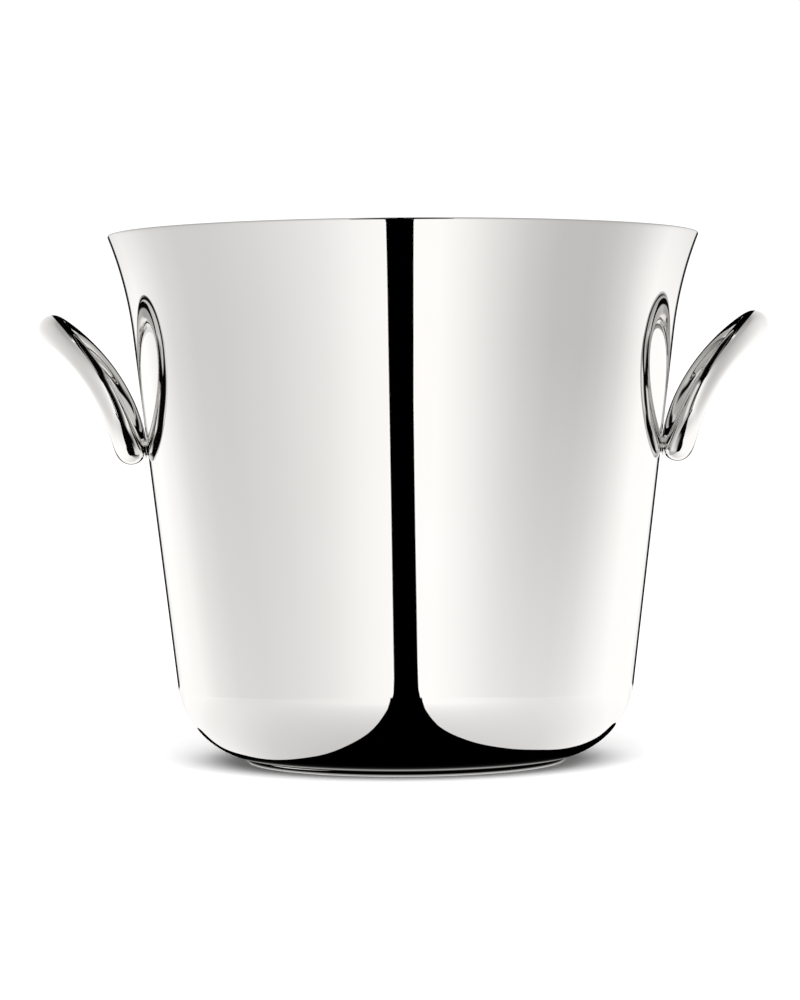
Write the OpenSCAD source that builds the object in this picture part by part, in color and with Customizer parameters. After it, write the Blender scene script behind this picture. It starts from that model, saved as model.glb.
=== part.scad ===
// Silver champagne bucket: a spun bucket with a flared lip on a low foot ring,
// and two cast ring handles that stand out from its sides.
// Millimetres. +Z is up, the origin is on the table under the middle of the bucket,
// and the handles lie on the X axis.

/* [Bucket] */
// Height of the rim above the table
height = 210.5; // [195:0.5:235]
// Outside diameter of the rim
rim_d = 236; // [220:1:255]
// Thickness of the spun metal
metal_t = 1.2; // [1:0.1:1.8]
// Lean of the straight wall from upright, in degrees
wall_lean = 6.8; // [5.5:0.1:8]
// Lean of the lip from upright at the rim, in degrees
lip_lean = 21.5; // [18:0.5:25]
// Radius of the arc that flares the wall out to the rim
flare_r = 155; // [130:5:180]
// Outside radius of the round corner between wall and bottom
corner_r = 34; // [28:1:38]

/* [Bottom and foot ring] */
// Height of the bucket's bottom above the table
foot_lift = 1.2; // [1:0.1:2]
// Height to which the middle of the bottom is pushed up
dish_h = 2.4; // [1.5:0.1:4]
// Radius of the part of the bottom that is pushed up
dish_r = 49; // [40:1:50]
// Outside diameter of the foot ring
foot_d = 128; // [124:1:132]
// Width of the face that the foot ring stands on
foot_w = 4.5; // [3.5:0.5:6]

/* [Ring handles] */
// Height of the middle of the ring's metal at its foot, above the table
ring_z = 125.2; // [118:0.2:132]
// Length of the ring's centre line, from foot to tip, along its curved sheet
ring_rise = 59.1; // [54:0.1:64]
// Width of the ring's centre line
ring_span = 63; // [56:1:68]
// Lean of the ring's sheet above level at its foot, in degrees
ring_lean_foot = 80.7; // [78:0.1:83]
// Lean of the ring's sheet above level at its tip, in degrees
ring_lean_tip = 34.7; // [30:0.1:50]
// Radius of the ring's metal at its foot, where it is fixed
foot_metal_r = 5.8; // [5.4:0.1:6.4]
// Radius of the ring's metal at its two sides
side_metal_r = 4.5; // [3.8:0.1:5.5]
// Radius of the ring's metal at its tip
tip_metal_r = 5.7; // [4.5:0.1:6.5]

/* [Collars and screws] */
// Clear space between wall and ring, where the collar shows
foot_gap = 1.1; // [0.8:0.1:1.6]
// Diameter of the collar at its two ends
collar_d = 7.6; // [7.2:0.1:8]
// Diameter of the collar at its waist
waist_d = 6.2; // [5.8:0.1:7]
// Diameter of the screw's shank
screw_d = 4; // [3:0.5:4.5]
// Depth to which the screw goes into the ring beyond the collar
screw_grip = 5; // [4:0.5:6]
// Diameter of the screw's domed head, inside the bucket
head_d = 11; // [9:0.5:12]

/* [Hidden] */

silver = [0.80, 0.80, 0.78];
cast_silver = [0.74, 0.74, 0.73];
screw_silver = [0.62, 0.62, 0.62];

// Steps along the arcs of an outline, and round the bucket, a screw and a collar
arc_steps = 24;
round_fn = 120;
screw_fn = 48;
collar_fn = 64;

// The lip is a full round, as thick as the metal
lip_r = metal_t / 2;
lip_end_r = rim_d / 2 - lip_r * (1 - cos(lip_lean));
lip_end_z = height - lip_r * (1 + sin(lip_lean));

// Centre of the flare's arc, which lies outside the bucket
flare_x = lip_end_r + flare_r * cos(lip_lean);
flare_z = lip_end_z - flare_r * sin(lip_lean);

// The straight wall ends where the flare begins
neck_r = flare_x - flare_r * cos(wall_lean);
neck_z = flare_z + flare_r * sin(wall_lean);

// Centre of the round corner, and the radius where the straight wall starts
toe_r = neck_r - tan(wall_lean) * (neck_z - foot_lift);
corner_x = toe_r - corner_r / tan((90 + wall_lean) / 2);
corner_z = foot_lift + corner_r;

// Inside of the bottom, and the slope of its pushed-up middle
floor_z = foot_lift + metal_t;
dish_slope_w = 2 * dish_h;

foot_r = foot_d / 2;
foot_round = 0.8;

// The straight wall's outside radius at height z
function wall_r(z) = neck_r - tan(wall_lean) * (neck_z - z);

// The screw runs square to the wall, through the middle of the ring's metal at its foot
ring_off = foot_metal_r + foot_gap;
ring_x = wall_r(ring_z) + ring_off / cos(wall_lean);
screw_x = ring_x - ring_off * cos(wall_lean);
screw_z = ring_z + ring_off * sin(wall_lean);

// The collar ends in a flat seat, cut into the ring deep enough to be a full circle
collar_r = collar_d / 2;
seat_depth = 0.3;
collar_h = foot_gap + foot_metal_r - sqrt(pow(foot_metal_r, 2) - pow(collar_r, 2)) + seat_depth;

// The collar starts inside the wall's face, which shapes its end, and its waist ends in the seat
collar_sink = 0.6;
waist_h = foot_gap + 0.2;

screw_clearance = 0.05;
screw_end_gap = 0.5;
head_edge_h = 0.8;
head_dome_h = 1.4;

// How far a cut or a joined part runs past the face it meets
overrun = 1;

// The ring's sheet is part of a cylinder across the bucket's X axis
bend_r = ring_rise / ((ring_lean_foot - ring_lean_tip) * PI / 180);
ring_steps = 84;
metal_steps = 20;

function arc_points(centre, r, from, to) = [
    for (i = [0 : arc_steps])
        let (a = from + (to - from) * i / arc_steps)
        centre + r * [cos(a), sin(a)]
];

// Section of the bucket's metal: outside from the middle of the bottom up to the lip,
// then back down the inside
function shell_section() = let (
    corner = [corner_x, corner_z],
    flare = [flare_x, flare_z],
    lip = flare + (flare_r + lip_r) * [-cos(lip_lean), sin(lip_lean)],
    inner_corner_r = corner_r - metal_t,
    inner_flare_r = flare_r + metal_t
) concat(
    [[0, foot_lift + dish_h], [dish_r, foot_lift + dish_h], [dish_r + dish_slope_w, foot_lift]],
    arc_points(corner, corner_r, -90, -wall_lean),
    arc_points(flare, flare_r, 180 - wall_lean, 180 - lip_lean),
    arc_points(lip, lip_r, -lip_lean, 180 - lip_lean),
    arc_points(flare, inner_flare_r, 180 - lip_lean, 180 - wall_lean),
    arc_points(corner, inner_corner_r, -wall_lean, -90),
    [[dish_r + dish_slope_w, floor_z], [dish_r, floor_z + dish_h], [0, floor_z + dish_h]]
);

// Section of the foot ring before the bucket's corner is taken out of its top
function foot_section() = let (
    inner_r = foot_r - foot_w,
    top_z = foot_lift + metal_t
) concat(
    arc_points([inner_r + foot_round, foot_round], foot_round, 180, 270),
    arc_points([foot_r - foot_round, foot_round], foot_round, -90, 0),
    [[foot_r, top_z], [inner_r, top_z]]
);

// The ring's metal is thickest at its foot and slimmest at its sides; t is 0 at the foot
function ring_metal_r(t) = let (
    ends = foot_metal_r * (1 + cos(t)) / 2 + tip_metal_r * (1 - cos(t)) / 2
) side_metal_r * pow(sin(t), 2) + ends * pow(cos(t), 2);

// Lean of the sheet at distance u up it
function sheet_lean(u) = ring_lean_foot - u / bend_r * 180 / PI;

// One point on the ring's surface: t goes round the ring and f round its metal
function ring_point(t, f) = let (
    u = ring_rise / 2 * (1 - cos(t)),
    lean = sheet_lean(u),
    up_sheet = [cos(lean), 0, sin(lean)],
    off_sheet = [sin(lean), 0, -cos(lean)],
    middle = [
        ring_x + bend_r * (sin(ring_lean_foot) - sin(lean)),
        ring_span / 2 * sin(t),
        ring_z + bend_r * (cos(lean) - cos(ring_lean_foot))
    ],
    turn = [-ring_span * cos(t), ring_rise * sin(t)],
    outward = (up_sheet * turn[0] + [0, 1, 0] * turn[1]) / norm(turn)
) middle + ring_metal_r(t) * (outward * cos(f) + off_sheet * sin(f));

module ring_solid() {
    points = [
        for (i = [0 : ring_steps - 1])
            for (k = [0 : metal_steps - 1])
                ring_point(360 * i / ring_steps, 360 * k / metal_steps)
    ];
    faces = [
        for (i = [0 : ring_steps - 1])
            for (k = [0 : metal_steps - 1])
                let (
                    j = (i + 1) % ring_steps,
                    m = (k + 1) % metal_steps,
                    a = i * metal_steps + k,
                    b = j * metal_steps + k,
                    c = j * metal_steps + m,
                    d = i * metal_steps + m
                )
                each [[a, b, c], [a, c, d]]
    ];
    polyhedron(points, faces);
}

// The right handle lies along +X, and the left one is the same turned half round
module at_side(is_left) {
    rotate([0, 0, is_left ? 180 : 0]) children();
}

// Local +Z runs outwards along the screw, from the wall's outside face
module along_screw() {
    translate([screw_x, 0, screw_z]) rotate([0, 90 + wall_lean, 0]) children();
}

// The straight wall as a solid cone, out to its outside face less inset
module wall_cone(inset) {
    low_z = corner_z;
    inset_r = inset / cos(wall_lean);
    translate([0, 0, low_z])
        cylinder(
            h = neck_z - low_z,
            r1 = wall_r(low_z) - inset_r,
            r2 = neck_r - inset_r,
            $fn = round_fn
        );
}

module screw_hole(from, to) {
    hole_r = screw_d / 2 + screw_clearance;
    along_screw() translate([0, 0, from]) cylinder(h = to - from, r = hole_r, $fn = screw_fn);
}

// Round seat in the ring that the collar's outer end stands in
module collar_seat() {
    along_screw() cylinder(h = collar_h, r = collar_r, $fn = collar_fn);
}

module body_shell() {
    wall_reach = 3 * metal_t;
    color(silver) difference() {
        rotate_extrude($fn = round_fn) polygon(shell_section());
        for (is_left = [false, true])
            at_side(is_left) screw_hole(-wall_reach, wall_reach);
    }
}

module foot_ring() {
    color(silver) rotate_extrude($fn = round_fn) difference() {
        polygon(foot_section());
        polygon(shell_section());
    }
}

module handle(is_left) {
    color(cast_silver) at_side(is_left) difference() {
        ring_solid();
        collar_seat();
        screw_hole(collar_h - overrun, collar_h + screw_grip + screw_end_gap);
    }
}

// Waisted collar between wall and ring, with its inner end shaped to the wall
module handle_collar(is_left) {
    waist_r = waist_d / 2;
    waist_depth = collar_r - waist_r;
    waist = [
        for (i = [0 : arc_steps])
            let (along = i / arc_steps)
            [waist_r + waist_depth * pow(2 * along - 1, 2), waist_h * along]
    ];
    color(cast_silver) at_side(is_left) difference() {
        along_screw() rotate_extrude($fn = collar_fn) polygon(concat(
            [[0, -collar_sink], [collar_r, -collar_sink]],
            waist,
            [[collar_r, collar_h], [0, collar_h]]
        ));
        wall_cone(0);
        screw_hole(-collar_sink - overrun, collar_h + overrun);
    }
}

// Domed head inside the bucket, shaped to the wall, and a shank out to the ring
module handle_screw(is_left) {
    head_r = head_d / 2;
    dome_r = (pow(head_r, 2) + pow(head_dome_h, 2)) / (2 * head_dome_h);
    dome_half = asin(head_r / dome_r);
    dome_centre = [0, dome_r - head_dome_h - head_edge_h];
    color(screw_silver) at_side(is_left) {
        intersection() {
            along_screw() translate([0, 0, -metal_t]) rotate_extrude($fn = collar_fn) polygon(concat(
                [[0, 0], [head_r, 0]],
                arc_points(dome_centre, dome_r, dome_half - 90, -90)
            ));
            wall_cone(metal_t);
        }
        along_screw() translate([0, 0, -metal_t - overrun])
            cylinder(h = metal_t + overrun + collar_h + screw_grip, d = screw_d, $fn = screw_fn);
    }
}

body_shell();
foot_ring();
handle(true);  // left_handle
handle(false);  // right_handle
handle_collar(true);  // left_handle_collar
handle_collar(false);  // right_handle_collar
handle_screw(true);  // left_handle_screw
handle_screw(false);  // right_handle_screw
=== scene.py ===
"""Looks of the silver champagne bucket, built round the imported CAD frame. Lengths are in metres.

The bucket's axis is Z, the camera stands on the -Y side, and the handles lie on the X axis.
"""

import math

import bpy
from mathutils import Matrix, Quaternion, Vector


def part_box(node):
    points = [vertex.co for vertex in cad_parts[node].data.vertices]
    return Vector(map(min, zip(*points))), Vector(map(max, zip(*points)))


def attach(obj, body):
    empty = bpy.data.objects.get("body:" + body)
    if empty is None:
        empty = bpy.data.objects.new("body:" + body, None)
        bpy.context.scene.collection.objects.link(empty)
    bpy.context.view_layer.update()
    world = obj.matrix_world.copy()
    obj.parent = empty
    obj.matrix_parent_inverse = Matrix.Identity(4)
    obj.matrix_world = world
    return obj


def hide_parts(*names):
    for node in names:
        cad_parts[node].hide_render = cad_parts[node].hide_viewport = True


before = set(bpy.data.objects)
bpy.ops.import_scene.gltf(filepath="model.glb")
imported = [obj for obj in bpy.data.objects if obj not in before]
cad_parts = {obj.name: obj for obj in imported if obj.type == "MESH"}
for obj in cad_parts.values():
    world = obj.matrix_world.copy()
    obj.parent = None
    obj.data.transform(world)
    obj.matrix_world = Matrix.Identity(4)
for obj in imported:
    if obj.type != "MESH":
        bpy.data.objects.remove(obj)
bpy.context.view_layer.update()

MM = 0.001
ROOT = "root"

# ---------------------------------------------------------------- sizes of the object

METAL_T = 1.2 * MM
WALL_LEAN = math.radians(6.8)
LIP_LEAN = math.radians(21.5)
FLARE_R = 155 * MM
CORNER_R = 34 * MM
FOOT_LIFT = 1.2 * MM
DISH_H = 2.4 * MM
DISH_R = 49 * MM
DISH_SLOPE = 2
FOOT_W = 4.5 * MM
FOOT_ROUND = 0.8 * MM
FOOT_SINK = 0.1 * MM
RING_Z = 125.2 * MM
RING_RISE = 59.1 * MM
RING_SPAN = 63 * MM
LEAN_FOOT = math.radians(80.7)
LEAN_TIP = math.radians(34.7)
FOOT_METAL_R = 5.8 * MM
SIDE_METAL_R = 4.5 * MM
TIP_METAL_R = 5.7 * MM
FOOT_GAP = 1.1 * MM
SEAT_DEPTH = 0.3 * MM
COLLAR_R = 3.8 * MM
COLLAR_FOOT_R = COLLAR_R + 0.25 * MM
COLLAR_SINK = 0.7 * MM
WAIST_R = 3.1 * MM
WAIST_H = FOOT_GAP + 0.2 * MM
SCREW_R = 2 * MM
SCREW_GRIP = 5 * MM
HEAD_R = 5.5 * MM
HEAD_EDGE_H = 0.8 * MM
HEAD_DOME_H = 1.4 * MM
# The head's flat side lies inside the wall's metal, so that no gap shows under it
HEAD_FACE_Z = -METAL_T * 0.6

# Steps of the meshes
BODY_TURNS = 384
LIP_STEPS = 10
OUTER_CORNER_STEPS = 48
INNER_CORNER_STEPS = 36
OUTER_FLARE_STEPS = 32
INNER_FLARE_STEPS = 28
LONGEST_STEP = 7 * MM
FOOT_TURNS = 256
FOOT_ROUND_STEPS = 8
FOOT_TOP_STEPS = 6
RING_STEPS = 448
METAL_STEPS = 112
FIXING_TURNS = 96
WAIST_STEPS = 12
DOME_STEPS = 14

# Edges that turn more than this, in degrees, stay crisp
BODY_CRISP = 20
FOOT_CRISP = 40
FIXING_CRISP = 35

shell_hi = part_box("body_shell")[1]
HEIGHT = shell_hi.z
RIM_R = shell_hi.y
FOOT_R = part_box("foot_ring")[1].y

# The section of the bucket: centres are (radius, height)
lip_r = METAL_T / 2
lip_end_r = RIM_R - lip_r * (1 - math.cos(LIP_LEAN))
lip_end_z = HEIGHT - lip_r * (1 + math.sin(LIP_LEAN))
flare = Vector(
    (lip_end_r + FLARE_R * math.cos(LIP_LEAN), lip_end_z - FLARE_R * math.sin(LIP_LEAN))
)
neck_r = flare.x - FLARE_R * math.cos(WALL_LEAN)
neck_z = flare.y + FLARE_R * math.sin(WALL_LEAN)
toe_r = neck_r - math.tan(WALL_LEAN) * (neck_z - FOOT_LIFT)
corner = Vector(
    (toe_r - CORNER_R / math.tan((math.pi / 2 + WALL_LEAN) / 2), FOOT_LIFT + CORNER_R)
)
floor_z = FOOT_LIFT + METAL_T
dish_end_r = DISH_R + DISH_SLOPE * DISH_H


def wall_r(z):
    """Outside radius of the straight wall at height z."""
    return neck_r - math.tan(WALL_LEAN) * (neck_z - z)


ring_off = FOOT_METAL_R + FOOT_GAP
ring_x = wall_r(RING_Z) + ring_off / math.cos(WALL_LEAN)
screw_at = Vector(
    (ring_x - ring_off * math.cos(WALL_LEAN), 0, RING_Z + ring_off * math.sin(WALL_LEAN))
)
collar_h = (
    FOOT_GAP + FOOT_METAL_R - math.sqrt(FOOT_METAL_R**2 - COLLAR_R**2) + SEAT_DEPTH
)
bend_r = RING_RISE / (LEAN_FOOT - LEAN_TIP)


# ---------------------------------------------------------------- mesh makers


def arc(centre, radius, start, end, steps):
    """Points of an arc in a section, from angle start to angle end."""
    return [
        Vector((centre[0] + radius * math.cos(a), centre[1] + radius * math.sin(a)))
        for a in (start + (end - start) * i / steps for i in range(steps + 1))
    ]


def refined(points, longest):
    """The same outline with long straight runs split, so that the mesh stays even."""
    made = [points[0]]
    for end in points[1:]:
        start = made[-1]
        parts = max(1, math.ceil((end - start).length / longest))
        made += [start.lerp(end, k / parts) for k in range(1, parts + 1)]
    return made


def new_object(name, verts, faces, material):
    """A smooth-shaded mesh object in the scene."""
    mesh = bpy.data.meshes.new(name)
    mesh.from_pydata(verts, [], faces)
    mesh.validate()
    mesh.shade_smooth()
    mesh.materials.append(material)
    made = bpy.data.objects.new(name, mesh)
    bpy.context.scene.collection.objects.link(made)
    return made


def revolve(name, outline, turns, material, closed=False, place=None):
    """Turns a section of (radius, height) points about the Z axis.

    A point on the axis is a single vertex. A closed section joins its last point to its first.
    """
    on_axis = 1e-7
    verts, rows = [], []
    for point in outline:
        if point[0] < on_axis:
            rows.append([len(verts)])
            verts.append(Vector((0, 0, point[1])))
            continue
        rows.append(list(range(len(verts), len(verts) + turns)))
        for i in range(turns):
            a = 2 * math.pi * i / turns
            verts.append(Vector((point[0] * math.cos(a), point[0] * math.sin(a), point[1])))
    pairs = list(zip(rows, rows[1:]))
    if closed:
        pairs.append((rows[-1], rows[0]))
    faces = []
    for low, high in pairs:
        for i in range(turns):
            j = (i + 1) % turns
            if len(low) == 1 and len(high) == 1:
                continue
            if len(low) == 1:
                faces.append((low[0], high[j], high[i]))
            elif len(high) == 1:
                faces.append((low[i], low[j], high[0]))
            else:
                faces.append((low[i], low[j], high[j], high[i]))
    if place is not None:
        verts = [place @ v for v in verts]
    return new_object(name, verts, faces, material)


def keep_edges_crisp(piece, angle):
    """Marks the edges that turn more than the angle as sharp, so smooth shading stops there."""
    mesh = piece.data
    sides = {}
    for face in mesh.polygons:
        for key in face.edge_keys:
            sides.setdefault(key, []).append(face.normal)
    limit = math.cos(math.radians(angle))
    for edge in mesh.edges:
        normals = sides[edge.key]
        if len(normals) == 2 and normals[0].dot(normals[1]) < limit:
            edge.use_edge_sharp = True


# ---------------------------------------------------------------- materials


def nodes_of(name):
    """A new material and its empty node tree."""
    material = bpy.data.materials.new(name)
    material.use_nodes = True
    tree = material.node_tree
    tree.nodes.clear()
    return material, tree


def node(tree, kind, **values):
    """A new node, with values for its inputs or for its own settings."""
    made = tree.nodes.new(kind)
    for key, value in values.items():
        if key in made.inputs:
            made.inputs[key].default_value = value
        else:
            setattr(made, key, value)
    return made


def to_surface(tree, socket):
    """Makes the socket the material's surface."""
    out = node(tree, "ShaderNodeOutputMaterial")
    tree.links.new(socket, out.inputs["Surface"])


def ramp(tree, source, stops):
    """A colour ramp through stops of (position, colour)."""
    made = node(tree, "ShaderNodeValToRGB")
    elements = made.color_ramp.elements
    while len(elements) > 1:
        elements.remove(elements[-1])
    elements[0].position, elements[0].color = stops[0]
    for position, colour in stops[1:]:
        elements.new(position).color = colour
    tree.links.new(source, made.inputs["Fac"])
    return made.outputs["Color"]


def remap(tree, source, low, high, to_low=0.0, to_high=1.0):
    """Goes from to_low to to_high while the source goes from low to high, and no further."""
    made = node(tree, "ShaderNodeMapRange")
    made.inputs["From Min"].default_value = low
    made.inputs["From Max"].default_value = high
    made.inputs["To Min"].default_value = to_low
    made.inputs["To Max"].default_value = to_high
    tree.links.new(source, made.inputs["Value"])
    return made.outputs["Result"]


# Most of a noise texture's values lie between these two
NOISE_LOW = 0.3
NOISE_HIGH = 0.7
CLOUDS_PER_M = 9.0
POLISH_PER_M = 45.0


def silver(name, dark, light, rough_low, rough_high, wave_size, wave_height):
    """Polished silver: a soft mirror with faint clouds, uneven polish and a slight waviness."""
    material, tree = nodes_of(name)
    links = tree.links
    shader = node(tree, "ShaderNodeBsdfPrincipled", Metallic=1.0)
    to_surface(tree, shader.outputs["BSDF"])
    coords = node(tree, "ShaderNodeTexCoord").outputs["Object"]

    def noise(scale, detail, roughness):
        made = node(
            tree, "ShaderNodeTexNoise", Scale=scale, Detail=detail, Roughness=roughness
        )
        links.new(coords, made.inputs["Vector"])
        return made.outputs["Fac"]

    clouds = noise(scale=CLOUDS_PER_M, detail=3.0, roughness=0.5)
    tone = ramp(tree, clouds, [(NOISE_LOW, dark), (NOISE_HIGH, light)])
    links.new(tone, shader.inputs["Base Color"])
    polish = noise(scale=POLISH_PER_M, detail=5.0, roughness=0.6)
    spread = remap(tree, polish, NOISE_LOW, NOISE_HIGH, rough_low, rough_high)
    links.new(spread, shader.inputs["Roughness"])
    waves = noise(scale=1 / wave_size, detail=1.0, roughness=0.4)
    bump = node(tree, "ShaderNodeBump", Strength=1.0, Distance=wave_height)
    links.new(waves, bump.inputs["Height"])
    links.new(bump.outputs["Normal"], shader.inputs["Normal"])
    return material


plate = silver(
    "polished_silver_plate",
    dark=(0.925, 0.92, 0.905, 1),
    light=(0.955, 0.95, 0.94, 1),
    rough_low=0.022,
    rough_high=0.034,
    wave_size=40 * MM,
    wave_height=0.006 * MM,
)
cast = silver(
    "polished_cast_silver",
    dark=(0.92, 0.913, 0.897, 1),
    light=(0.95, 0.945, 0.932, 1),
    rough_low=0.022,
    rough_high=0.036,
    wave_size=14 * MM,
    wave_height=0.005 * MM,
)
fixing = silver(
    "screw_silver",
    dark=(0.80, 0.79, 0.765, 1),
    light=(0.86, 0.85, 0.83, 1),
    rough_low=0.10,
    rough_high=0.16,
    wave_size=4 * MM,
    wave_height=0.004 * MM,
)


# ---------------------------------------------------------------- the bucket


def finish_piece(piece, slot, *stood_for):
    """Ties a piece to its body and hides the CAD nodes that it stands for. The slot argument is
    not used.
    """
    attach(piece, ROOT)
    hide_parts(*stood_for)


def shell_outline():
    """The bucket's section: outside from the middle of the bottom up, over the lip and back."""
    outer_lip = flare + (FLARE_R + lip_r) * Vector((-math.cos(LIP_LEAN), math.sin(LIP_LEAN)))
    down, wall, lip = -math.pi / 2, math.pi - WALL_LEAN, math.pi - LIP_LEAN
    return refined(
        [
            Vector((0, FOOT_LIFT + DISH_H)),
            Vector((DISH_R, FOOT_LIFT + DISH_H)),
            Vector((dish_end_r, FOOT_LIFT)),
        ]
        + arc(corner, CORNER_R, down, -WALL_LEAN, OUTER_CORNER_STEPS)
        + arc(flare, FLARE_R, wall, lip, OUTER_FLARE_STEPS)
        + arc(outer_lip, lip_r, -LIP_LEAN, lip, LIP_STEPS)[1:]
        + arc(flare, FLARE_R + METAL_T, lip, wall, INNER_FLARE_STEPS)[1:]
        + arc(corner, CORNER_R - METAL_T, -WALL_LEAN, down, INNER_CORNER_STEPS)
        + [
            Vector((dish_end_r, floor_z)),
            Vector((DISH_R, floor_z + DISH_H)),
            Vector((0, floor_z + DISH_H)),
        ],
        LONGEST_STEP,
    )


body = revolve("bucket_body", shell_outline(), BODY_TURNS, plate)
keep_edges_crisp(body, BODY_CRISP)
finish_piece(body, "silver_plate", "body_shell")


def underside(r):
    """Height of the bucket's underside at radius r, near the foot ring."""
    if r <= corner.x:
        return FOOT_LIFT
    return corner.y - math.sqrt(CORNER_R**2 - (r - corner.x) ** 2)


def foot_outline():
    """The foot ring's section: two rounded lower edges, and a top that follows the underside."""
    inner = FOOT_R - FOOT_W
    inner_round = (inner + FOOT_ROUND, FOOT_ROUND)
    outer_round = (FOOT_R - FOOT_ROUND, FOOT_ROUND)
    across = [inner + FOOT_W * k / FOOT_TOP_STEPS for k in range(FOOT_TOP_STEPS, -1, -1)]
    return (
        arc(inner_round, FOOT_ROUND, math.pi, 1.5 * math.pi, FOOT_ROUND_STEPS)
        + arc(outer_round, FOOT_ROUND, -math.pi / 2, 0, FOOT_ROUND_STEPS)
        + [Vector((r, underside(r) + FOOT_SINK)) for r in across]
    )


foot = revolve("foot_ring_piece", foot_outline(), FOOT_TURNS, plate, closed=True)
keep_edges_crisp(foot, FOOT_CRISP)
finish_piece(foot, "silver_plate", "foot_ring")


# ---------------------------------------------------------------- ring handles, collars and screws


def ring_point(t, f):
    """A point on the ring: t goes round the ring from its foot, and f round its metal."""
    u = RING_RISE / 2 * (1 - math.cos(t))
    lean = LEAN_FOOT - u / bend_r
    up_sheet = Vector((math.cos(lean), 0, math.sin(lean)))
    off_sheet = Vector((math.sin(lean), 0, -math.cos(lean)))
    middle = Vector(
        (
            ring_x + bend_r * (math.sin(LEAN_FOOT) - math.sin(lean)),
            RING_SPAN / 2 * math.sin(t),
            RING_Z + bend_r * (math.cos(lean) - math.cos(LEAN_FOOT)),
        )
    )
    outward = up_sheet * (-RING_SPAN * math.cos(t)) + Vector((0, 1, 0)) * (RING_RISE * math.sin(t))
    outward.normalize()
    ends = FOOT_METAL_R * (1 + math.cos(t)) / 2 + TIP_METAL_R * (1 - math.cos(t)) / 2
    metal = SIDE_METAL_R * math.sin(t) ** 2 + ends * math.cos(t) ** 2
    return middle + (outward * math.cos(f) + off_sheet * math.sin(f)) * metal


def ring_corner(i, k):
    """Number of the vertex at step i round the ring and step k round its metal."""
    return i % RING_STEPS * METAL_STEPS + k % METAL_STEPS


ring_verts = [
    ring_point(2 * math.pi * i / RING_STEPS, 2 * math.pi * k / METAL_STEPS)
    for i in range(RING_STEPS)
    for k in range(METAL_STEPS)
]
ring_faces = [
    (ring_corner(i, k), ring_corner(i + 1, k), ring_corner(i + 1, k + 1), ring_corner(i, k + 1))
    for i in range(RING_STEPS)
    for k in range(METAL_STEPS)
]


def waist_point(k):
    """A point of the collar's waist, which is narrowest half way up."""
    bulge = (COLLAR_FOOT_R - WAIST_R) * (2 * k / WAIST_STEPS - 1) ** 2
    return Vector((WAIST_R + bulge, WAIST_H * k / WAIST_STEPS))


# Sections of the fixings: heights go from the wall's outside along the screw to the ring
collar_outline = (
    [
        Vector((0, -COLLAR_SINK)),
        Vector((COLLAR_FOOT_R, -COLLAR_SINK)),
        Vector((COLLAR_FOOT_R, 0)),
    ]
    + [waist_point(k) for k in range(1, WAIST_STEPS + 1)]
    + [Vector((COLLAR_R, collar_h)), Vector((0, collar_h))]
)
dome_r = (HEAD_R**2 + HEAD_DOME_H**2) / (2 * HEAD_DOME_H)
dome_half = math.asin(HEAD_R / dome_r)
dome_centre = (0, dome_r - HEAD_DOME_H - HEAD_EDGE_H - METAL_T)
screw_end = collar_h + SCREW_GRIP
screw_outline = (
    [Vector((0, -METAL_T - HEAD_EDGE_H - HEAD_DOME_H))]
    + arc(dome_centre, dome_r, -math.pi / 2, dome_half - math.pi / 2, DOME_STEPS)[1:]
    + [
        Vector((HEAD_R, HEAD_FACE_Z)),
        Vector((SCREW_R, HEAD_FACE_Z)),
        Vector((SCREW_R, screw_end)),
        Vector((0, screw_end)),
    ]
)
along_screw = Matrix.Translation(screw_at) @ Matrix.Rotation(math.pi / 2 + WALL_LEAN, 4, "Y")
for side, turn in (("left", math.pi), ("right", 0.0)):
    spin = Matrix.Rotation(turn, 4, "Z")
    ring = new_object(side + "_ring_handle", [spin @ v for v in ring_verts], ring_faces, cast)
    finish_piece(ring, "cast_silver", side + "_handle")
    place = spin @ along_screw
    collar = revolve(side + "_collar", collar_outline, FIXING_TURNS, cast, place=place)
    keep_edges_crisp(collar, FIXING_CRISP)
    finish_piece(collar, "cast_silver", side + "_handle_collar")
    screw = revolve(side + "_screw", screw_outline, FIXING_TURNS, fixing, place=place)
    keep_edges_crisp(screw, FIXING_CRISP)
    finish_piece(screw, "screw_silver", side + "_handle_screw")


# ---------------------------------------------------------------- studio: colours of the cards

# A polished object shows what stands round it, so the studio is a set of glowing cards that only
# the metal sees. A card may have two sets of levels: direct, for light that meets the metal once,
# and deep, for light that meets it twice or more. Deep levels show in the handles, in their
# reflections in the wall and inside the bucket. Their dark bands are painted dark reflections, set
# by how often the light has met the metal.
#
# Levels are (angle, grey). The angle goes round the object in degrees: 0 is the camera's side,
# positive is to its right, and 180 is the back. Grey is a display level from 0 to 255.
#
# These levels aren't free design. Scratch programs, not kept, followed the camera's light over the
# metal to the cards and printed the photograph's median or mean grey for each area of a card. Most
# levels were chosen from those tables, so they hold the photograph's greys in a coarse form. This
# is not an example to follow.

SILVER_LOSS = 0.94
SILVER_TINT = (1, 0.987, 0.975)


def shade(value):
    """Colour of a card that shows in the silver as this display grey."""
    s = value / 255
    level = (s / 12.92 if s <= 0.04045 else ((s + 0.055) / 1.055) ** 2.4) / SILVER_LOSS
    return (*(level * part for part in SILVER_TINT), 1)


def all_round(grey):
    """The same level on all sides."""
    return [(-180, grey), (180, grey)]


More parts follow.
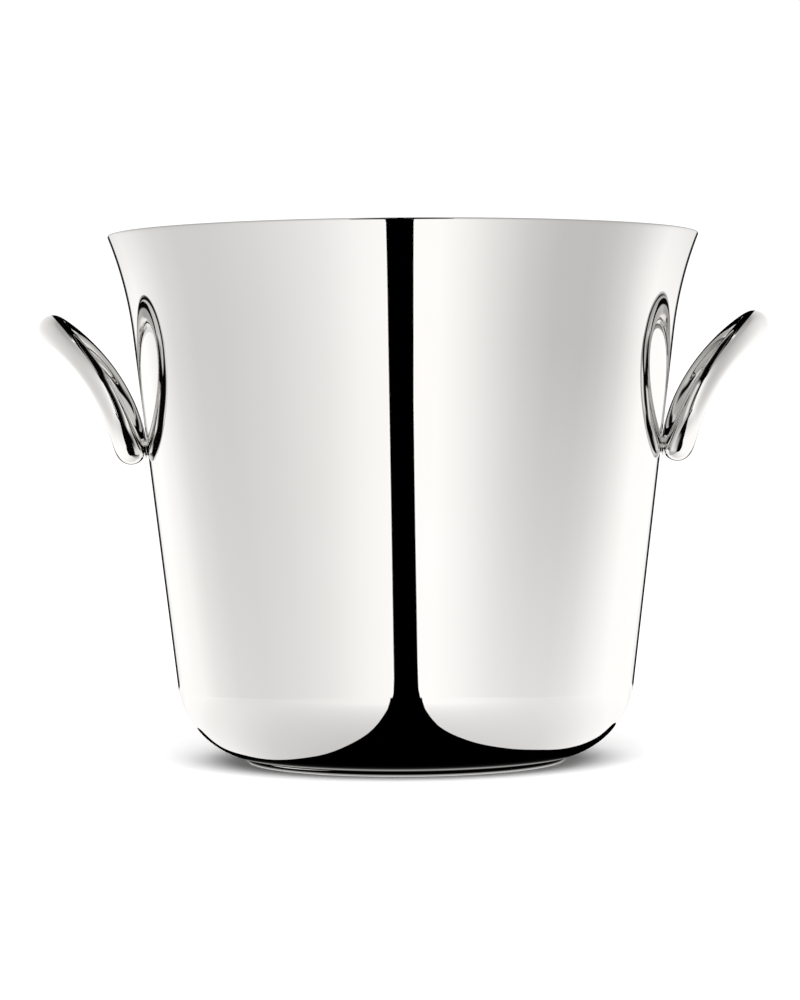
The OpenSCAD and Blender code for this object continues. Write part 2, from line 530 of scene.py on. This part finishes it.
def place_round(tree):
    """Where a point of a card is: its angle as a factor, its height, and its position.

    The factor is 0.5 on the camera's side, and 0 or 1 at the back.
    """
    position = node(tree, "ShaderNodeNewGeometry").outputs["Position"]
    parts = node(tree, "ShaderNodeSeparateXYZ")
    tree.links.new(position, parts.inputs["Vector"])
    towards = node(tree, "ShaderNodeMath", operation="MULTIPLY")
    towards.inputs[1].default_value = -1
    tree.links.new(parts.outputs["Y"], towards.inputs[0])
    angle = node(tree, "ShaderNodeMath", operation="ARCTAN2")
    tree.links.new(parts.outputs["X"], angle.inputs[0])
    tree.links.new(towards.outputs[0], angle.inputs[1])
    turn = remap(tree, angle.outputs[0], -math.pi, math.pi)
    return turn, parts.outputs["Z"], position


def distance(tree, position):
    """Distance of a point from the middle of the foot."""
    made = node(tree, "ShaderNodeVectorMath", operation="LENGTH")
    tree.links.new(position, made.inputs[0])
    return made.outputs["Value"]


def levels_round(tree, turn, levels):
    """Colours for a list of levels."""
    return ramp(tree, turn, [((a + 180) / 360, shade(v)) for a, v in levels])


def blend_by(tree, factor, low, high):
    """The colour low where the factor is 0, and high where it is 1."""
    mixed = node(tree, "ShaderNodeMix", data_type="RGBA")
    # A Mix node has inputs of the same name for each data type: these are the colour ones
    for number, socket in ((0, factor), (6, low), (7, high)):
        tree.links.new(socket, mixed.inputs[number])
    return mixed.outputs[2]


def stacked(tree, height, turn, lowest, *bands):
    """Levels that change with height. Each band is (start, full, levels), with heights in mm."""
    made = levels_round(tree, turn, lowest)
    for start, full, levels in bands:
        share = remap(tree, height, start * MM, full * MM)
        made = blend_by(tree, share, made, levels_round(tree, turn, levels))
    return made


def second_bounce(tree):
    """1 for light that has met the metal twice or more, and 0 for once."""
    # Ray Depth is a whole number: how often the light has met the metal so far
    path = node(tree, "ShaderNodeLightPath")
    return remap(tree, path.outputs["Ray Depth"], 1.4, 1.6)


def not_a_lamp(material):
    """Keeps a card out of the list of lamps: it is only seen in reflections."""
    material.cycles.emission_sampling = "NONE"
    return material


def glowing(name, colour_of):
    """A card's material, which glows in the colour that colour_of makes in its tree."""
    material, tree = nodes_of(name)
    light = node(tree, "ShaderNodeEmission", Strength=1.0)
    tree.links.new(colour_of(tree), light.inputs["Color"])
    to_surface(tree, light.outputs["Emission"])
    return not_a_lamp(material)


def tent_colour(tree):
    """White in front and at the sides, grey between them, and darker above the rim."""
    turn, height, _ = place_round(tree)
    foot_level = [
        (-180, 255), (-110, 255), (-96, 250), (-84, 233), (-70, 220), (-56, 217), (-40, 223),
        (-28, 232), (-15, 247), (0, 255), (10, 255), (20, 246), (32, 232), (44, 224), (56, 222),
        (66, 228), (78, 243), (92, 254), (180, 255),
    ]
    wall_level = [
        (-180, 255), (-110, 255), (-97, 240), (-84, 219), (-72, 208), (-60, 207), (-43, 215),
        (-32, 224), (-23, 232), (-12, 247), (0, 255), (10, 255), (18, 243), (26, 226), (36, 206),
        (46, 194), (58, 192), (66, 199), (76, 216), (86, 240), (94, 254), (180, 255),
    ]
    top_level = [
        (-180, 150), (-125, 160), (-80, 172), (-50, 184), (-20, 190), (0, 190), (20, 172),
        (50, 172), (90, 174), (125, 155), (180, 150),
    ]
    direct = stacked(
        tree, height, turn, foot_level, (0, 150, wall_level), (165, 290, top_level)
    )
    # Painted dark reflections: the deep levels lay dark bands into the handles and the inside of
    # the bucket
    deep = stacked(
        tree, height, turn,
        [
            (-180, 230), (-112, 225), (-104, 190), (-98, 120), (-90, 4), (10, 4), (20, 70),
            (34, 170), (50, 188), (72, 200), (82, 214), (130, 240), (180, 230),
        ],
        (34, 64, [
            (-180, 210), (-112, 228), (-98, 200), (-88, 165), (-80, 190), (-74, 248), (-69, 242),
            (-63, 160), (-56, 60), (-50, 12), (-42, 4), (18, 12), (28, 50), (34, 120), (42, 225),
            (54, 240), (66, 160), (90, 180), (112, 150), (122, 80), (132, 60), (140, 140),
            (180, 210),
        ]),
        (168, 182, [
            (-180, 125), (-146, 190), (-104, 175), (-84, 195), (-74, 185), (-62, 40), (-48, 10),
            (-38, 4), (62, 4), (72, 60), (80, 190), (112, 190), (122, 150), (134, 80), (180, 125),
        ]),
        (186, 199, [
            (-180, 155), (-152, 165), (-128, 205), (-110, 190), (-100, 60), (-94, 4), (76, 4),
            (84, 90), (92, 200), (130, 200), (180, 155),
        ]),
        (206, 222, [
            (-180, 150), (-152, 160), (-142, 80), (-134, 40), (-124, 5), (94, 4), (102, 30),
            (110, 110), (118, 190), (180, 150),
        ]),
        (246, 264, [
            (-180, 190), (-150, 203), (-20, 203), (20, 190), (80, 165), (180, 190),
        ]),
    )
    return blend_by(tree, second_bounce(tree), direct, deep)


FAR_R = 5.0
FAR_STEPS = 48
FAR_TURNS = 128


def of_far(part):
    """A part of the far room's radius, in mm."""
    return part * FAR_R / MM


def far_colour(tree):
    """The room beyond the tent: white, with a dark upright strip behind the object."""
    turn, height, _ = place_round(tree)
    direct = stacked(
        tree, height, turn,
        all_round(254),
        (of_far(-0.24), of_far(-0.19), [
            (-180, 3), (-162, 3), (-159, 245), (-120, 254), (120, 254), (159, 245), (162, 3),
            (180, 3),
        ]),
        (of_far(0.04), of_far(0.1), [
            (-180, 3), (-172, 5), (-167, 110), (-158, 200), (158, 200), (167, 110), (172, 5),
            (180, 3),
        ]),
    )
    # Painted dark reflections: the deep levels darken what light that has met the metal twice
    # shows
    deep = stacked(
        tree, height, turn,
        all_round(245),
        (of_far(-0.2), of_far(-0.02), [(-180, 175), (-150, 195), (150, 160), (180, 175)]),
        (of_far(0.50), of_far(0.55), [
            (-180, 5), (-158, 12), (-149, 190), (149, 190), (158, 12), (180, 5),
        ]),
        (of_far(0.76), of_far(0.80), all_round(200)),
    )
    return blend_by(tree, second_bounce(tree), direct, deep)


def painted_table_shade_colour(tree):
    """The table as the metal sees it, with painted shade: darker near the object and behind it,
    and white at the card's edge.
    """
    turn, _, position = place_round(tree)
    reach = distance(tree, position)
    near = [
        (-180, 190), (-150, 214), (-125, 245), (-100, 250), (-70, 240), (-45, 208), (-20, 192),
        (0, 185), (20, 200), (45, 214), (70, 244), (90, 252), (125, 245), (150, 210), (180, 190),
    ]
    outer = [
        (-180, 202), (-165, 208), (-150, 226), (-136, 246), (-124, 255), (-110, 255),
        (-96, 252), (-84, 240), (-70, 226), (-56, 222), (-40, 228), (-28, 236), (-15, 246),
        (0, 255), (10, 255), (20, 250), (32, 240), (44, 230), (56, 226), (66, 232), (78, 245),
        (92, 254), (124, 255), (136, 244), (150, 222), (165, 206), (180, 202),
    ]
    # Painted dark reflection: the deep levels are nearly black for light that meets the metal
    # twice or more
    deep_outer = [
        (-180, 210), (-150, 205), (-138, 150), (-128, 5), (70, 5), (84, 165), (120, 220),
        (140, 170), (180, 200),
    ]
    # Here the bands follow the distance from the middle, and not the height
    direct = stacked(tree, reach, turn, near, (70, 170, outer), (190, 296, all_round(254)))
    deep = stacked(tree, reach, turn, all_round(5), (130, 155, deep_outer))
    return blend_by(tree, second_bounce(tree), direct, deep)


def painted_dark_reflection_colour(tree):
    """Painted dark reflection of the table: black, and a little lighter where it meets the foot, a
    painted reflection of the shaded table there.
    """
    reach = distance(tree, node(tree, "ShaderNodeNewGeometry").outputs["Position"])
    return ramp(
        tree, remap(tree, reach, 64 * MM, 70 * MM),
        [(0, shade(165)), (0.15, shade(115)), (0.35, shade(42)), (0.6, shade(8)), (1, shade(0))],
    )


def gap_material():
    """Plain black."""
    material, tree = nodes_of("gap_black")
    to_surface(tree, node(tree, "ShaderNodeEmission", Strength=0.0).outputs["Emission"])
    return not_a_lamp(material)


def divider_material():
    """Painted dark reflection: black for light that has met the metal once, and clear for light
    that met it more often.
    """
    material, tree = nodes_of("divider_black")
    black = node(tree, "ShaderNodeEmission", Strength=0.0)
    clear = node(tree, "ShaderNodeBsdfTransparent")
    mixed = node(tree, "ShaderNodeMixShader")
    tree.links.new(second_bounce(tree), mixed.inputs["Fac"])
    tree.links.new(black.outputs["Emission"], mixed.inputs[1])
    tree.links.new(clear.outputs["BSDF"], mixed.inputs[2])
    to_surface(tree, mixed.outputs["Shader"])
    return not_a_lamp(material)


# ---------------------------------------------------------------- studio: the cards


def reflected_only(thing):
    """A card of the studio that is seen in the metal and nowhere else."""
    thing.visible_camera = False
    thing.visible_diffuse = False
    thing.visible_transmission = False
    thing.visible_volume_scatter = False
    thing.visible_shadow = False


def flat_card(name, corners, material):
    """A card of one flat face."""
    reflected_only(new_object(name, corners, [tuple(range(len(corners)))], material))


# The light tent is a round wall, open at the back. Its reach is in degrees to each side.
TENT_R = 185 * MM
TENT_FOOT = 0.05 * MM
TENT_TOP = 1000 * MM
TENT_REACH = 124
TENT_TURNS = 172

tent_verts = []
for z in (TENT_FOOT, TENT_TOP):
    for i in range(TENT_TURNS + 1):
        a = math.radians(-TENT_REACH + 2 * TENT_REACH * i / TENT_TURNS)
        tent_verts.append(Vector((TENT_R * math.sin(a), -TENT_R * math.cos(a), z)))
tent_faces = [(i, i + 1, i + TENT_TURNS + 2, i + TENT_TURNS + 1) for i in range(TENT_TURNS)]
reflected_only(
    new_object("light_tent", tent_verts, tent_faces, glowing("tent", tent_colour))
)

# The far room is a globe with a small opening at its top and bottom
far_outline = arc((0, 0), FAR_R, -math.pi / 2, math.pi / 2, FAR_STEPS)[1:-1]
reflected_only(revolve("far_room", far_outline, FAR_TURNS, glowing("far_room", far_colour)))

# The divider is an upright card over the bucket, which keeps each handle's light on its own side.
# It is a painted dark reflection: black to light that meets the metal once.
DIVIDER_X = -2
DIVIDER_FRONT = -166
DIVIDER_BACK = 1600
DIVIDER_LOW = 216
DIVIDER_HIGH = 1400
divider_corners = (
    (DIVIDER_FRONT, DIVIDER_LOW),
    (DIVIDER_BACK, DIVIDER_LOW),
    (DIVIDER_BACK, DIVIDER_HIGH),
    (DIVIDER_FRONT, DIVIDER_HIGH),
)
flat_card(
    "divider",
    [Vector((DIVIDER_X, y, z)) * MM for y, z in divider_corners],
    divider_material(),
)

FLOOR_CARD_R = 300 * MM
FLOOR_CARD_Z = 0.1 * MM
FLOOR_CARD_TURNS = 180
reflected_only(
    revolve(
        "floor_card",
        [Vector((0, FLOOR_CARD_Z)), Vector((FLOOR_CARD_R, FLOOR_CARD_Z))],
        FLOOR_CARD_TURNS,
        glowing("painted_table_shade", painted_table_shade_colour),
    )
)


def smooth_loop(points, parts):
    """A closed outline that runs smoothly through the points."""
    made = []
    ends = [Vector(p) for p in points]
    for i in range(len(ends)):
        before, start, end, after = (ends[(i + k) % len(ends)] for k in (-1, 0, 1, 2))
        pull = 0.5 * (end - before), 0.5 * (after - start)
        for k in range(parts):
            t = k / parts
            made.append(
                (2 * t**3 - 3 * t**2 + 1) * start + (t**3 - 2 * t**2 + t) * pull[0]
                + (3 * t**2 - 2 * t**3) * end + (t**3 - t**2) * pull[1]
            )
    return made


# Painted dark reflection on the table, seen only in the metal: a black strip from the camera's
# side that widens to go round the foot.
# Points are (x, y) in mm. At least 8 are copied from a scratch program that followed the edge of
# the photograph's black area back to the table. This is not an example to follow.
DARK_REFLECTION_Z = 0.2 * MM
DARK_REFLECTION_PARTS = 8
dark_reflection_points = smooth_loop(
    [
        (16.5, -199), (16, -139), (17, -113), (20.6, -98), (29.8, -83.6), (43.3, -69.2),
        (55.5, -55.7), (65, -41.8), (73.5, -28.1), (84.4, -7.8),
        (101, 30), (92, 74), (55, 98), (0, 108), (-55, 98), (-92, 74), (-97, 30),
        (-79, -4), (-67.4, -27.4), (-56.6, -42.7), (-44.1, -59.3), (-32.4, -73.2),
        (-23.3, -87.5), (-18.8, -99), (-16.6, -114), (-16, -139), (-16.5, -199),
    ],
    DARK_REFLECTION_PARTS,
)
flat_card(
    "floor_painted_dark_reflection",
    [Vector((x * MM, y * MM, DARK_REFLECTION_Z)) for x, y in dark_reflection_points],
    glowing("painted_black_reflection", painted_dark_reflection_colour),
)

# The dark gap between the tent's two front panels, wider above the rim. Points are (x, z) in mm.
# Of the 12 on its two sides, 7 are copied from a scratch program in the same way.
GAP_Y = -160
gap_left = [(-16.5, 0), (-14.3, 7), (-12.3, 11), (-11.6, 18)]
gap_top = [(-11.7, 203), (-36, 214), (-40, 1000), (38, 1000), (34, 214), (7.3, 203)]
gap_right = [
    (7.3, 130), (8.1, 99), (8.9, 74), (9.9, 50), (10.9, 25), (11.9, 13), (13.9, 8), (16.5, 0),
]
flat_card(
    "front_gap",
    [Vector((x, GAP_Y, z)) * MM for x, z in gap_left + gap_top + gap_right],
    gap_material(),
)


# ---------------------------------------------------------------- studio: floor and light

# The pale floor that the camera sees, just under the foot
FLOOR_HALF = 4.0
FLOOR_Z = -0.02 * MM
FLOOR_COLOUR = (0.95, 0.95, 0.95, 1)

floor_material, floor_tree = nodes_of("pale_floor")
floor_shader = node(floor_tree, "ShaderNodeBsdfPrincipled", Roughness=1.0)
floor_shader.inputs["Specular IOR Level"].default_value = 0.0
floor_shader.inputs["Base Color"].default_value = FLOOR_COLOUR
to_surface(floor_tree, floor_shader.outputs["BSDF"])
floor = new_object(
    "studio_floor",
    [
        Vector((x * FLOOR_HALF, y * FLOOR_HALF, FLOOR_Z))
        for x, y in ((-1, -1), (1, -1), (1, 1), (-1, 1))
    ],
    [(0, 1, 2, 3)],
    floor_material,
)
floor.visible_glossy = False

SOFTBOX_WIDTH = 2.4
SOFTBOX_DEPTH = 1.6
SOFTBOX_WATTS = 46
SOFTBOX_AT = Vector((0, -1.5, 1.5))
WORLD_STRENGTH = 1.09

softbox_data = bpy.data.lights.new("softbox", "AREA")
softbox_data.shape = "RECTANGLE"
softbox_data.size = SOFTBOX_WIDTH
softbox_data.size_y = SOFTBOX_DEPTH
softbox_data.energy = SOFTBOX_WATTS
softbox = bpy.data.objects.new("softbox", softbox_data)
bpy.context.scene.collection.objects.link(softbox)
softbox.location = SOFTBOX_AT
softbox.rotation_mode = "QUATERNION"
softbox.rotation_quaternion = (-SOFTBOX_AT).to_track_quat("-Z", "Y")
softbox.visible_glossy = False
softbox.visible_camera = False

world = bpy.data.worlds.new("studio")
bpy.context.scene.world = world
world.use_nodes = True
sky = world.node_tree.nodes["Background"]
sky.inputs["Color"].default_value = (1, 1, 1, 1)
sky.inputs["Strength"].default_value = WORLD_STRENGTH
bpy.context.scene.view_settings.view_transform = "Standard"


# ---------------------------------------------------------------- camera

CAMERA_AT = Vector((-1.85, -1300, 137.6)) * MM
CAMERA_AIM = Vector((-1.85, 0, 104.4)) * MM
CAMERA_ROLL = math.radians(-0.4)
CAMERA_LENS = 116.5
SENSOR_WIDTH = 36
NEAREST = 0.01

camera_data = bpy.data.cameras.new("camera")
camera_data.sensor_width = SENSOR_WIDTH
camera_data.lens = CAMERA_LENS
camera_data.clip_start = NEAREST
camera = bpy.data.objects.new("camera", camera_data)
bpy.context.scene.collection.objects.link(camera)
camera.location = CAMERA_AT
camera.rotation_mode = "QUATERNION"
facing = (CAMERA_AIM - CAMERA_AT).to_track_quat("-Z", "Y")
camera.rotation_quaternion = facing @ Quaternion((0, 0, 1), CAMERA_ROLL)
bpy.context.scene.camera = camera
